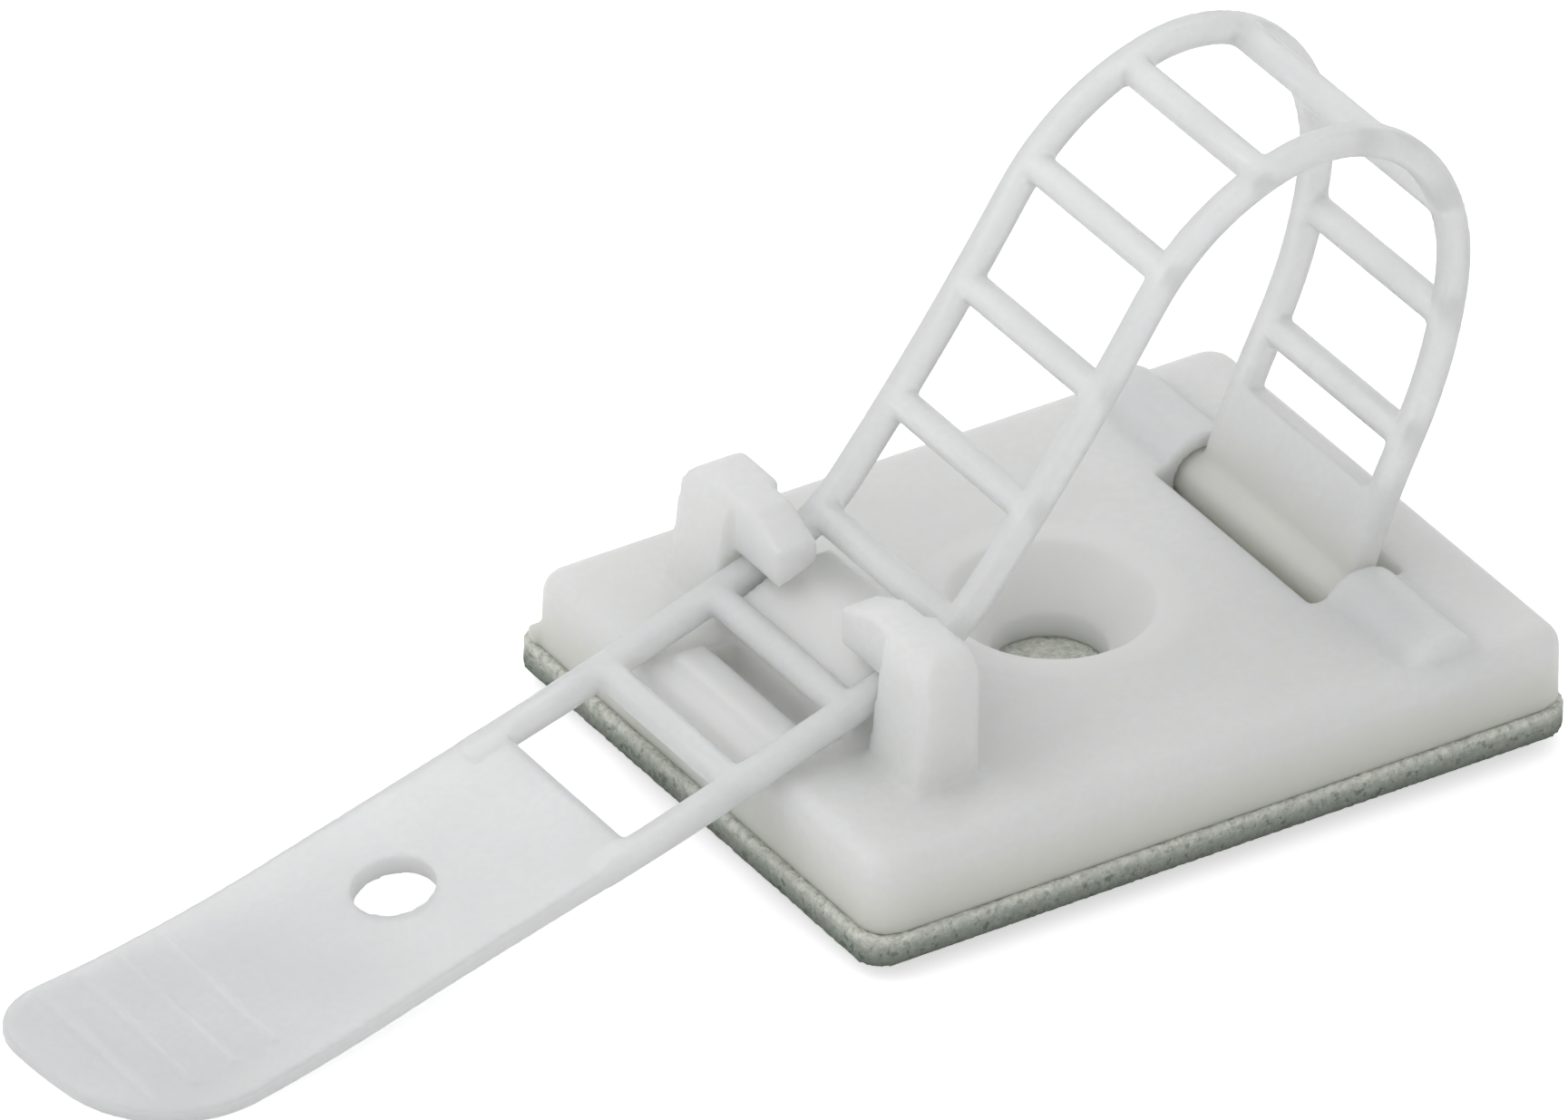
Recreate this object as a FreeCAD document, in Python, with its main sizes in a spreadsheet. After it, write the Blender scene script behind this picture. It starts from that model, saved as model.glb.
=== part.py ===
import FreeCAD, Part
import math
import os
import Sketcher

# Adhesive-backed cable tie mount with a ladder strap, closed round an empty cable space.
# Frame: origin on the screw-hole axis at the underside of the adhesive pad, +Z away from
# the mounting surface, +X towards the strap's knuckle, the free pull tab towards -X. Sizes in mm.

doc = FreeCAD.newDocument("CableTieMount")

SIZES = [
    # adhesive pad
    ("pad_overhang_x", 0.2, "beyond the plate's foot; the tape is then 25.4 long"),
    ("pad_overhang_y", 0.4, "beyond the plate's foot"),
    ("pad_thickness", 0.95, ""),
    ("pad_corner", 1.1, "corner radius"),
    ("pad_shift_x", -0.05, "laid on slightly off centre"),
    ("pad_shift_y", 0.25, "laid on slightly off centre"),
    # moulded plate and screw hole
    ("ledge_margin", 0.9, "plate beyond the ledge, towards -X"),
    ("slot_margin", 2.6, "plate beyond the slot, towards +X"),
    ("lug_margin", 0.6, "plate beyond each lug"),
    ("plate_thickness", 2.6, ""),
    ("plate_corner", 1.0, "corner radius"),
    ("plate_draft", 1.2, "degrees, on the side walls"),
    ("plate_round", 0.7, "radius round the top face"),
    ("bore_diameter", 3.5, "straight part of the screw hole"),
    ("bore_straight", 0.9, "length of the straight part"),
    ("mouth_diameter", 6.5, "countersink at the top face"),
    ("mouth_round", 0.25, "radius round the mouth"),
    # knuckle: lugs on the plate, barrel and pins on the strap
    ("knuckle_x", 8.3, "axis of the knuckle"),
    ("knuckle_z", 2.8, "axis of the knuckle"),
    ("lug_radius", 1.48, ""),
    ("lug_length", 4.73, "outwards from the strap's side"),
    ("lug_round", 0.4, "radius at the outer ends"),
    ("slot_left", 6.55, "open slot round the strap's root"),
    ("slot_right", 9.9, ""),
    ("barrel_radius", 0.95, ""),
    ("pin_radius", 0.9, ""),
    ("lug_wall", 0.65, "closes each pin seat at its outer end"),
    ("pin_clearance", 0.06, "between a pin and its seat"),
    ("side_clearance", 0.15, "between the strap's sides and the moulding"),
    # latch: posts, lips, tooth and groove
    ("post_foot_left", -9.45, ""),
    ("post_top_left", -8.9, ""),
    ("post_right", -7.05, ""),
    ("post_top_z", 7.8, ""),
    ("post_foot_thickness", 2.65, "outwards from the strap's side"),
    ("post_top_thickness", 2.5, ""),
    ("post_round", 0.9, "radius of the outer and left edges at the top"),
    ("hook_left", -8.55, "hook over the rail"),
    ("hook_reach", 2.45, "inwards from the strap's side"),
    ("hook_lead_in", 1.5, "sloped part of its top, inwards"),
    ("hook_tip_z", 7.15, "top of the hook at its tip"),
    ("hook_clearance", 0.1, "above the rails"),
    ("tooth_top_left", -7.7, ""),
    ("tooth_top_right", -6.0, ""),
    ("tooth_foot_right", -5.2, ""),
    ("tooth_edge_z", 5.05, "height of the face the rung bears on"),
    ("tooth_top_z", 5.75, ""),
    ("tooth_gap", 0.22, "between the tooth and each rail"),
    ("groove_left", -10.45, ""),
    ("groove_right", -9.35, ""),
    ("groove_floor", 2.5, "height of its floor"),
    ("ledge_left", -11.6, "low ledge beside the groove"),
    ("ledge_top", 3.85, ""),
    # ladder strap
    ("strap_width", 8.25, "over both rails"),
    ("rail_thickness", 0.95, ""),
    ("rail_width", 0.9, ""),
    ("rail_bevel", 0.2, "taken off the long edges"),
    ("rung_diameter", 1.0, ""),
    ("rung_first", 5.5, "first rung, along the midline from the knuckle axis"),
    ("rung_pitch", 4.14, ""),
    ("web_thickness", 0.85, ""),
    ("web_end", 3.55, "solid web up to here, along the midline"),
    # midline of the strap as photographed: tangent arcs, each with a length and a turn
    ("heading", 73.7, "degrees from +X at the knuckle axis"),
    ("run_a", 5.48, ""),
    ("turn_a", -9.1, "degrees, positive towards -X at the top"),
    ("run_b", 5.54, ""),
    ("turn_b", 20.7, ""),
    ("run_c", 3.99, ""),
    ("turn_c", 35.0, ""),
    ("run_d", 6.25, ""),
    ("turn_d", 74.6, ""),
    ("run_e", 6.08, ""),
    ("turn_e", 43.3, ""),
    ("run_f", 9.92, ""),
    ("turn_f", -6.4, ""),
    ("run_g", 3.61, ""),
    ("turn_g", -32.0, ""),
    ("run_h", 8.33, ""),
    ("turn_h", -2.4, ""),
    ("run_i", 12.0, ""),
    ("turn_i", -9.0, ""),
    ("run_j", 8.7, ""),
    ("turn_j", -9.5, ""),
    # pull tab
    ("tab_start", 50.7, "along the midline"),
    ("tab_thickness", 0.72, "where the rails run in"),
    ("tip_thickness", 0.45, "it thins evenly towards the tip"),
    ("tab_corner_back", 2.3, "radius at the tip"),
    ("tab_corner_front", 4.0, "radius at the tip"),
    ("tab_bevel", 0.1, "taken off its long edges"),
    ("tip_width", 8.7, "across the tab near its tip"),
    ("tab_bulge", 0.5, "rise of the curved end"),
    ("tab_yaw", 7.2, "degrees, sideways bend towards -Y as photographed"),
    ("tab_bend", 1.0, "bend starts this far beyond the start of the tab"),
    ("tab_bend_radius", 60.0, ""),
    ("tab_hole_at", 56.9, "along the midline"),
    ("tab_hole_diameter", 2.5, ""),
    ("rib_first", 63.5, "first grip rib, along the midline"),
    ("rib_pitch", 1.5, ""),
    ("rib_radius", 0.22, ""),
    ("rib_height", 0.1, "above the tab"),
    ("rib_half", 3.3, "half width of a rib"),
    ("rib_shift", 0.5, "towards +Y from the middle of the tab"),
]

# worked out from the sizes above
DERIVED = [
    ("slot_half", "strap_width / 2 + side_clearance"),
    ("tooth_half", "strap_width / 2 - rail_width - tooth_gap"),
    ("lug_end", "slot_half + lug_length"),
    ("pin_end", "lug_end - lug_wall - side_clearance"),
    ("plate_left", "ledge_left - ledge_margin"),
    ("plate_right", "slot_right + slot_margin"),
    ("plate_length", "plate_right - plate_left"),
    ("plate_middle", "(plate_right + plate_left) / 2"),
    ("plate_width", "2 * (lug_end + lug_margin)"),
    ("pad_length", "plate_length + 2 * pad_overhang_x"),
    ("pad_width", "plate_width + 2 * pad_overhang_y"),
]

sheet = doc.addObject("Spreadsheet::Sheet", "Sizes")
for row, (alias, value, note) in enumerate(SIZES, start=1):
    sheet.set("A%d" % row, alias)
    sheet.set("B%d" % row, str(value))
    sheet.set("C%d" % row, note)
    sheet.setAlias("B%d" % row, alias)
for row, (alias, formula) in enumerate(DERIVED, start=len(SIZES) + 1):
    sheet.set("A%d" % row, alias)
    sheet.set("B%d" % row, "=" + formula)
    sheet.setAlias("B%d" % row, alias)
doc.recompute()


def size(alias):
    return float(sheet.get(alias))


def bind(obj, **expressions):
    for name, expression in expressions.items():
        obj.setExpression(name.replace("__", "."), expression)


def origin_plane(body, role):
    return [f for f in body.Origin.OriginFeatures if f.Role == role][0]


def sketch_on(body, role, name):
    sketch = body.newObject("Sketcher::SketchObject", name)
    sketch.AttachmentSupport = (origin_plane(body, role), [""])
    sketch.MapMode = "FlatFace"
    return sketch


def rounded_rectangle(sketch, length, width, corner):
    """Rectangle with rounded corners about the sketch origin, driven by three aliases."""
    half_l, half_w, r = size(length) / 2, size(width) / 2, size(corner)
    V = FreeCAD.Vector
    centres = [(half_l - r, half_w - r), (r - half_l, half_w - r),
               (r - half_l, r - half_w), (half_l - r, r - half_w)]
    arcs = []
    for quarter, (x, y) in enumerate(centres):
        circle = Part.Circle(V(x, y, 0), V(0, 0, 1), r)
        arc = Part.ArcOfCircle(circle, quarter * math.pi / 2, (quarter + 1) * math.pi / 2)
        arcs.append(sketch.addGeometry(arc, False))
    for first, second in zip(arcs, arcs[1:] + arcs[:1]):
        start = sketch.getPoint(first, 2)
        end = sketch.getPoint(second, 1)
        line = sketch.addGeometry(Part.LineSegment(start, end), False)
        sketch.addConstraint(Sketcher.Constraint("Tangent", first, 2, line, 1))
        sketch.addConstraint(Sketcher.Constraint("Tangent", line, 2, second, 1))
        direction = "Horizontal" if first in (arcs[0], arcs[2]) else "Vertical"
        sketch.addConstraint(Sketcher.Constraint(direction, line))
    for arc in arcs[1:]:
        sketch.addConstraint(Sketcher.Constraint("Equal", arcs[0], arc))
    sketch.addConstraint(Sketcher.Constraint("Symmetric", arcs[0], 3, arcs[2], 3, -1, 1))
    radius = sketch.addConstraint(Sketcher.Constraint("Radius", arcs[0], r))
    sketch.setExpression("Constraints[%d]" % radius, "Sizes.%s" % corner)
    along = sketch.addConstraint(
        Sketcher.Constraint("DistanceX", arcs[2], 3, arcs[0], 3, 2 * (half_l - r)))
    sketch.setExpression("Constraints[%d]" % along, "Sizes.%s - 2 * Sizes.%s" % (length, corner))
    across = sketch.addConstraint(
        Sketcher.Constraint("DistanceY", arcs[2], 3, arcs[0], 3, 2 * (half_w - r)))
    sketch.setExpression("Constraints[%d]" % across, "Sizes.%s - 2 * Sizes.%s" % (width, corner))


def cylinder_across(name, radius, start, length, x, z):
    """Cylinder along Y; every argument is an expression."""
    obj = doc.addObject("Part::Cylinder", name)
    obj.Placement = FreeCAD.Placement(
        FreeCAD.Vector(0, 0, 0), FreeCAD.Rotation(FreeCAD.Vector(1, 0, 0), -90))
    bind(obj, Radius=radius, Height=length, Placement__Base__x=x,
         Placement__Base__y=start, Placement__Base__z=z)
    return obj


def box(name, x0, x1, y0, y1, z0, z1):
    obj = doc.addObject("Part::Box", name)
    bind(obj, Length="(%s) - (%s)" % (x1, x0), Width="(%s) - (%s)" % (y1, y0),
         Height="(%s) - (%s)" % (z1, z0), Placement__Base__x=x0,
         Placement__Base__y=y0, Placement__Base__z=z0)
    return obj


def fuse(name, shapes):
    obj = doc.addObject("Part::MultiFuse", name)
    obj.Shapes = shapes
    return obj


def cut(name, base, tool):
    obj = doc.addObject("Part::Cut", name)
    obj.Base = base
    obj.Tool = tool
    return obj


def dressed(kind, name, base, amount, wanted):
    """Part fillet or chamfer on the edges that the test picks by their middle point."""
    doc.recompute()
    picked = []
    for number, edge in enumerate(base.Shape.Edges, start=1):
        middle = edge.valueAt((edge.FirstParameter + edge.LastParameter) / 2)
        if wanted(edge, middle):
            picked.append((number, amount, amount))
    obj = doc.addObject(kind, name)
    obj.Base = base
    obj.Edges = picked
    doc.recompute()
    return obj


# Adhesive pad
adhesive_pad = doc.addObject("PartDesign::Body", "AdhesivePad")
adhesive_pad.Label = "adhesive_pad"
pad_sketch = sketch_on(adhesive_pad, "XY_Plane", "PadOutline")
rounded_rectangle(pad_sketch, "pad_length", "pad_width", "pad_corner")
bind(pad_sketch, AttachmentOffset__Base__x="Sizes.plate_middle + Sizes.pad_shift_x",
     AttachmentOffset__Base__y="Sizes.pad_shift_y")
pad_block = adhesive_pad.newObject("PartDesign::Pad", "PadBlock")
pad_block.Profile = pad_sketch
bind(pad_block, Length="Sizes.pad_thickness")
doc.recompute()

# Moulded plate
plate = doc.addObject("PartDesign::Body", "Plate")
plate_sketch = sketch_on(plate, "XY_Plane", "PlateOutline")
rounded_rectangle(plate_sketch, "plate_length", "plate_width", "plate_corner")
bind(plate_sketch, AttachmentOffset__Base__x="Sizes.plate_middle",
     AttachmentOffset__Base__z="Sizes.pad_thickness")
plate_block = plate.newObject("PartDesign::Pad", "PlateBlock")
plate_block.Profile = plate_sketch
bind(plate_block, Length="Sizes.plate_thickness", TaperAngle="-Sizes.plate_draft")
doc.recompute()
top_z = size("pad_thickness") + size("plate_thickness")
rim = ["Edge%d" % number for number, edge in enumerate(plate_block.Shape.Edges, start=1)
       if edge.BoundBox.ZMin > top_z - 0.01]
plate_rim = plate.newObject("PartDesign::Fillet", "PlateRim")
plate_rim.Base = (plate_block, rim)
bind(plate_rim, Radius="Sizes.plate_round")
doc.recompute()

TOP = "(Sizes.pad_thickness + Sizes.plate_thickness)"
LUG_X = "Sizes.knuckle_x"
LUG_Z = "Sizes.knuckle_z"

lug_bar = cylinder_across("LugBar", "Sizes.lug_radius", "-Sizes.lug_end", "2 * Sizes.lug_end",
                          LUG_X, LUG_Z)
lug_bar_rounded = dressed("Part::Fillet", "LugBarRounded", lug_bar, size("lug_round"),
                         lambda edge, middle: len(edge.Vertexes) == 1)


class Midline:
    """The strap's midline in the XZ plane, as a chain of tangent arcs."""

    def __init__(self):
        self.arcs = []
        x, z, heading = size("knuckle_x"), size("knuckle_z"), math.radians(size("heading"))
        reach = 0.0
        for letter in "abcdefghij":
            length, turn = size("run_" + letter), math.radians(size("turn_" + letter))
            self.arcs.append((reach, length, x, z, heading, turn / length))
            x, z, heading = self.along(self.arcs[-1], length)
            reach += length
        self.length = reach

    @staticmethod
    def along(arc, distance):
        reach, length, x, z, heading, bend = arc
        ahead = heading + bend * distance
        x += (math.sin(ahead) - math.sin(heading)) / bend
        z -= (math.cos(ahead) - math.cos(heading)) / bend
        return x, z, ahead

    def at(self, distance, offset=0.0):
        """Point and heading at a distance from the knuckle, moved outwards by the offset."""
        arc = [a for a in self.arcs if a[0] <= distance or a is self.arcs[0]][-1]
        x, z, heading = self.along(arc, distance - arc[0])
        x += offset * math.sin(heading)
        z -= offset * math.cos(heading)
        return FreeCAD.Vector(x, 0, z), heading

    def side(self, stations, sign):
        """Edges of one side of a ribbon, an arc for each arc of the midline.

        Stations are pairs of distance and offset from the midline.
        """
        start, end = stations[0][0], stations[-1][0]
        cuts = [a[0] for a in self.arcs if start + 0.05 < a[0] < end - 0.05]
        cuts = sorted(set(cuts + [s for s, _ in stations]))

        def offset_at(distance):
            for (s0, t0), (s1, t1) in zip(stations, stations[1:]):
                if distance <= s1:
                    return t0 + (t1 - t0) * (distance - s0) / (s1 - s0)
            return stations[-1][1]

        edges = []
        for first, second in zip(cuts, cuts[1:]):
            points = []
            for distance in (first, (first + second) / 2, second):
                offset = sign * offset_at(distance)
                points.append(self.at(min(distance, second - 1e-9), offset)[0])
            edges.append(Part.Arc(*points).toShape())
        return edges

    def ribbon(self, stations, inner=-1):
        """Face in the XZ plane along the midline, from pairs of distance and half thickness."""
        outer = self.side(stations, 1)
        inside = self.side(stations, inner)
        start = Part.makeLine(outer[0].firstVertex(True).Point, inside[0].firstVertex(True).Point)
        end = Part.makeLine(outer[-1].lastVertex(True).Point, inside[-1].lastVertex(True).Point)
        return Part.Face(Part.Wire(Part.__sortEdges__(outer + inside + [start, end])))


midline = Midline()


def extrusion(name, face, y0, y1):
    """Prism of a face along Y, between two expressions."""
    profile = doc.addObject("Part::Feature", name + "Profile")
    profile.Shape = face
    obj = doc.addObject("Part::Extrusion", name)
    obj.Base = profile
    obj.DirMode = "Custom"
    obj.Dir = FreeCAD.Vector(0, 1, 0)
    obj.Solid = True
    bind(obj, LengthFwd=y1, LengthRev="-(%s)" % y0)
    return obj


# Latch: a post on each side, with a hook over the rail
clear = size("rail_thickness") / 2 + size("hook_clearance")


def distance_at_x(x):
    """Distance along the tail of the midline where it passes this X."""
    low, high = 36.0, midline.length
    while high - low > 1e-6:
        middle = (low + high) / 2
        if midline.at(middle)[0].x > x:
            low = middle
        else:
            high = middle
    return low


def rounded_on_post(edge, middle):
    at_top = middle.z > size("post_top_z") - 0.01
    outer = middle.y > size("slot_half") + size("post_top_thickness") - 0.01
    left = abs(middle.x - size("post_top_left")) < 0.01
    return at_top and (outer or left)


# the wedge's own Z axis points to -Y
post_wedge = doc.addObject("Part::Wedge", "PostWedge")
post_wedge.Placement = FreeCAD.Placement(
    FreeCAD.Vector(0, 0, 0), FreeCAD.Rotation(FreeCAD.Vector(1, 0, 0), 90))
bind(post_wedge, Xmin="Sizes.post_foot_left", Xmax="Sizes.post_right",
     X2min="Sizes.post_top_left", X2max="Sizes.post_right",
     Ymin=TOP + " - 0.3", Ymax="Sizes.post_top_z",
     Zmin="-(Sizes.slot_half + Sizes.post_foot_thickness)",
     Z2min="-(Sizes.slot_half + Sizes.post_top_thickness)",
     Zmax="-Sizes.slot_half", Z2max="-Sizes.slot_half")
post = dressed("Part::Fillet", "Post", post_wedge, size("post_round"), rounded_on_post)

hook_from = distance_at_x(size("post_right"))
hook_to = distance_at_x(size("hook_left"))
hook_under = midline.side([(hook_from, clear), (hook_to, clear)], 1)
under_right = hook_under[0].firstVertex(True).Point
under_left = hook_under[-1].lastVertex(True).Point
over_right = FreeCAD.Vector(under_right.x, 0, size("post_top_z"))
over_left = FreeCAD.Vector(under_left.x, 0, size("post_top_z"))
hook_over = [Part.makeLine(under_right, over_right), Part.makeLine(over_right, over_left),
             Part.makeLine(over_left, under_left)]
hook_side = Part.Face(Part.Wire(Part.__sortEdges__(hook_under + hook_over)))
hook_block = extrusion("HookBlock", hook_side,
                       "Sizes.strap_width / 2 - Sizes.hook_reach", "Sizes.slot_half + 1")
lead_in = doc.addObject("Part::Wedge", "HookLeadIn")
lead_in.Placement = FreeCAD.Placement(
    FreeCAD.Vector(0, 0, 0), FreeCAD.Rotation(FreeCAD.Vector(1, 0, 0), 90))
TIP = "(Sizes.strap_width / 2 - Sizes.hook_reach)"
bind(lead_in, Xmin="Sizes.hook_left - 1", Xmax="Sizes.post_right + 1",
     X2min="Sizes.hook_left - 1", X2max="Sizes.post_right + 1",
     Ymin="Sizes.hook_tip_z", Ymax="Sizes.post_top_z",
     Zmin="-" + TIP, Z2min="-(%s + Sizes.hook_lead_in)" % TIP,
     Zmax="1 - " + TIP, Z2max="1 - " + TIP)
hook = cut("Hook", hook_block, lead_in)
back_latch = fuse("BackLatch", [post, hook])
front_latch = doc.addObject("Part::Mirroring", "FrontLatch")
front_latch.Source = back_latch
front_latch.Normal = FreeCAD.Vector(0, 1, 0)

# Tooth: a ladder rung bears on its steep face
rungs = [size("rung_first") + n * size("rung_pitch") for n in range(11)]
latched = midline.at(rungs[9])[0]
tooth_left = latched.x + size("rung_diameter") / 2
tooth_body = doc.addObject("PartDesign::Body", "Tooth")
tooth_sketch = sketch_on(tooth_body, "XZ_Plane", "ToothProfile")
foot_z = top_z - 0.3
corners = [(tooth_left, foot_z), (tooth_left, size("tooth_edge_z")),
           (size("tooth_top_left"), size("tooth_top_z")),
           (size("tooth_top_right"), size("tooth_top_z")),
           (size("tooth_foot_right"), foot_z)]
for number, (x, z) in enumerate(corners):
    ahead = corners[(number + 1) % len(corners)]
    sketch_line = Part.LineSegment(FreeCAD.Vector(x, z, 0), FreeCAD.Vector(ahead[0], ahead[1], 0))
    tooth_sketch.addGeometry(sketch_line, False)
for number in range(len(corners)):
    tooth_sketch.addConstraint(
        Sketcher.Constraint("Coincident", number, 2, (number + 1) % len(corners), 1))
tooth_pad = tooth_body.newObject("PartDesign::Pad", "ToothBlock")
tooth_pad.Profile = tooth_sketch
tooth_pad.Midplane = True
bind(tooth_pad, Length="2 * Sizes.tooth_half")

ledge = box("Ledge", "Sizes.ledge_left", "Sizes.groove_left", "-Sizes.tooth_half",
            "Sizes.tooth_half", TOP + " - 0.3", "Sizes.ledge_top")

base_solid = fuse("BaseSolid", [plate, lug_bar_rounded, back_latch, front_latch, tooth_body,
                                ledge])

# Slot, pin seats open below, groove and countersunk screw hole
slot = box("Slot", "Sizes.slot_left", "Sizes.slot_right", "-Sizes.slot_half", "Sizes.slot_half",
           "Sizes.pad_thickness - 1", "Sizes.knuckle_z + Sizes.lug_radius + 1")
SEAT_RADIUS = "(Sizes.pin_radius + Sizes.pin_clearance)"
SEAT_END = "(Sizes.pin_end + Sizes.side_clearance)"
seat_top = cylinder_across("SeatTop", SEAT_RADIUS, "-" + SEAT_END, "2 * " + SEAT_END,
                           LUG_X, LUG_Z)
seat_way = box("SeatWay", "Sizes.knuckle_x - " + SEAT_RADIUS, "Sizes.knuckle_x + " + SEAT_RADIUS,
               "-" + SEAT_END, SEAT_END, "Sizes.pad_thickness - 1", "Sizes.knuckle_z")
groove = box("Groove", "Sizes.groove_left", "Sizes.groove_right", "-Sizes.tooth_half",
             "Sizes.tooth_half", "Sizes.groove_floor", TOP + " + 1")
bore = doc.addObject("Part::Cylinder", "ScrewBore")
bind(bore, Radius="Sizes.bore_diameter / 2", Height="Sizes.plate_thickness + 2",
     Placement__Base__z="Sizes.pad_thickness - 1")
countersink = doc.addObject("Part::Cone", "Countersink")
bind(countersink, Radius1="Sizes.bore_diameter / 2", Radius2="Sizes.mouth_diameter / 2",
     Height="Sizes.plate_thickness - Sizes.bore_straight",
     Placement__Base__z="Sizes.pad_thickness + Sizes.bore_straight")
base_cuts = fuse("BaseCuts", [slot, seat_top, seat_way, groove, bore, countersink])
base_cut = cut("BaseCut", base_solid, base_cuts)
mount_base = dressed(
    "Part::Fillet", "MountBase", base_cut, size("mouth_round"),
    lambda edge, middle: len(edge.Vertexes) == 1
    and abs(middle.z - top_z) < 0.01
    and abs(math.hypot(middle.x, middle.y) - size("mouth_diameter") / 2) < 0.01)
mount_base.Label = "mount_base"

# Ladder strap
RAIL_OUT = "(Sizes.strap_width / 2)"
RAIL_IN = "(Sizes.strap_width / 2 - Sizes.rail_width)"
rail_half = size("rail_thickness") / 2
rail_face = midline.ribbon([(0.0, rail_half), (size("tab_start") + 1.2, rail_half)])
front_rail_block = extrusion("FrontRailBlock", rail_face, "-" + RAIL_OUT, "-" + RAIL_IN)
back_rail_block = extrusion("BackRailBlock", rail_face, RAIL_IN, RAIL_OUT)


def along_strap(edge, middle):
    return abs(edge.Vertexes[0].Y - edge.Vertexes[-1].Y) < 0.01 and edge.Length > 1.0


front_rail = dressed("Part::Chamfer", "FrontRail", front_rail_block, size("rail_bevel"),
                     along_strap)
back_rail = dressed("Part::Chamfer", "BackRail", back_rail_block, size("rail_bevel"),
                    along_strap)

web_half = size("web_thickness") / 2
web = extrusion("Web", midline.ribbon([(0.0, web_half), (size("web_end"), web_half)]),
                "-(%s + 0.45)" % RAIL_IN, "%s + 0.45" % RAIL_IN)
barrel = cylinder_across("Barrel", "Sizes.barrel_radius", "-" + RAIL_OUT, "2 * " + RAIL_OUT,
                         LUG_X, LUG_Z)
pins = cylinder_across("Pins", "Sizes.pin_radius", "-Sizes.pin_end", "2 * Sizes.pin_end",
                       LUG_X, LUG_Z)
rung_parts = []
for number, distance in enumerate(rungs):
    point = midline.at(distance)[0]
    rung_parts.append(cylinder_across(
        "Rung%02d" % number, "Sizes.rung_diameter / 2", "-(%s + 0.45)" % RAIL_IN,
        "2 * (%s + 0.45)" % RAIL_IN, "%.9f" % point.x, "%.9f" % point.z))

# Pull tab: a thinning ribbon trimmed to its outline, seen from above
tab_start = size("tab_start")
tab_side = midline.ribbon([(tab_start, size("tab_thickness") / 2),
                           (midline.length + 1.0, size("tip_thickness") / 2)])
tab_slab = extrusion("TabSlab", tab_side, "-Sizes.strap_width", "Sizes.strap_width")
tab_x0 = midline.at(tab_start)[0].x
tab_reach = tab_x0 - size("tab_bend") - midline.at(midline.length)[0].x
half = size("strap_width") / 2
tip_half = size("tip_width") / 2
yaw = math.radians(size("tab_yaw"))
bend_reach = yaw * size("tab_bend_radius")


def tab_across(reach):
    """Direction across the tab in plan, this far along its axis from the bend."""
    turned = min(reach, bend_reach) / size("tab_bend_radius")
    return FreeCAD.Vector(-math.sin(turned), math.cos(turned), 0)


def on_tab(reach, across):
    """Point of the tab's plan, this far along its axis from the bend and this far across it."""
    radius = size("tab_bend_radius")
    turned = min(reach, bend_reach) / radius
    straight = max(reach - bend_reach, 0.0)
    axis = FreeCAD.Vector(
        tab_x0 - size("tab_bend") - radius * math.sin(turned) - straight * math.cos(turned),
        -radius * (1 - math.cos(turned)) - straight * math.sin(turned), 0)
    return axis + tab_across(reach) * across


def tab_outline():
    """Closed outline in the XY plane, bent a little sideways, with a curved end."""
    foot_back = FreeCAD.Vector(tab_x0 + 2.0, half, 0)
    foot_front = FreeCAD.Vector(tab_x0 + 2.0, -half, 0)
    shoulder = tab_reach - size("tab_bulge")
    end = [on_tab(shoulder, tip_half), on_tab(tab_reach, 0.0), on_tab(shoulder, -tip_half)]
    back = [on_tab(share * bend_reach, half) for share in (0.0, 0.5, 1.0)]
    front = [on_tab(share * bend_reach, -half) for share in (1.0, 0.5, 0.0)]
    edges = [
        Part.makeLine(foot_back, back[0]),
        Part.Arc(*back).toShape(),
        Part.makeLine(back[-1], end[0]),
        Part.Arc(*end).toShape(),
        Part.makeLine(end[-1], front[0]),
        Part.Arc(*front).toShape(),
        Part.makeLine(front[-1], foot_front),
        Part.makeLine(foot_front, foot_back),
    ]
    return Part.Face(Part.Wire(edges))


tab_face = doc.addObject("Part::Feature", "TabOutline")
tab_face.Shape = tab_outline()
tab_prism = doc.addObject("Part::Extrusion", "TabPrism")
tab_prism.Base = tab_face
tab_prism.DirMode = "Custom"
tab_prism.Dir = FreeCAD.Vector(0, 0, 1)
tab_prism.LengthFwd = size("strap_width")
tab_prism.LengthRev = size("strap_width")
tab_prism.Solid = True


def tab_corner(side):
    """Test for the upright edge of the prism at one corner of the tip."""
    corner = on_tab(tab_reach - size("tab_bulge"), side * tip_half)
    return lambda edge, middle: math.hypot(middle.x - corner.x, middle.y - corner.y) < 0.01


tab_prism_back = dressed("Part::Fillet", "TabPrismBack", tab_prism, size("tab_corner_back"),
                         tab_corner(1))
tab_prism_rounded = dressed("Part::Fillet", "TabPrismRounded", tab_prism_back,
                            size("tab_corner_front"), tab_corner(-1))
tab_blank = doc.addObject("Part::MultiCommon", "TabBlank")
tab_blank.Shapes = [tab_slab, tab_prism_rounded]
tab_edged = dressed(
    "Part::Chamfer", "TabEdged", tab_blank, size("tab_bevel"),
    lambda edge, middle: middle.x < tab_x0 - 0.6 and edge.Length > 1.0)
hole_point, hole_heading = midline.at(size("tab_hole_at"))
tab_hole = doc.addObject("Part::Cylinder", "TabHole")
hole_axis = FreeCAD.Vector(math.sin(hole_heading), 0, -math.cos(hole_heading))
tab_hole.Placement = FreeCAD.Placement(
    hole_point - hole_axis * size("tab_thickness") * 2,
    FreeCAD.Rotation(FreeCAD.Vector(0, 0, 1), hole_axis))
bind(tab_hole, Radius="Sizes.tab_hole_diameter / 2", Height="4 * Sizes.tab_thickness")
tab_drilled = cut("TabDrilled", tab_edged, tab_hole)

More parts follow.
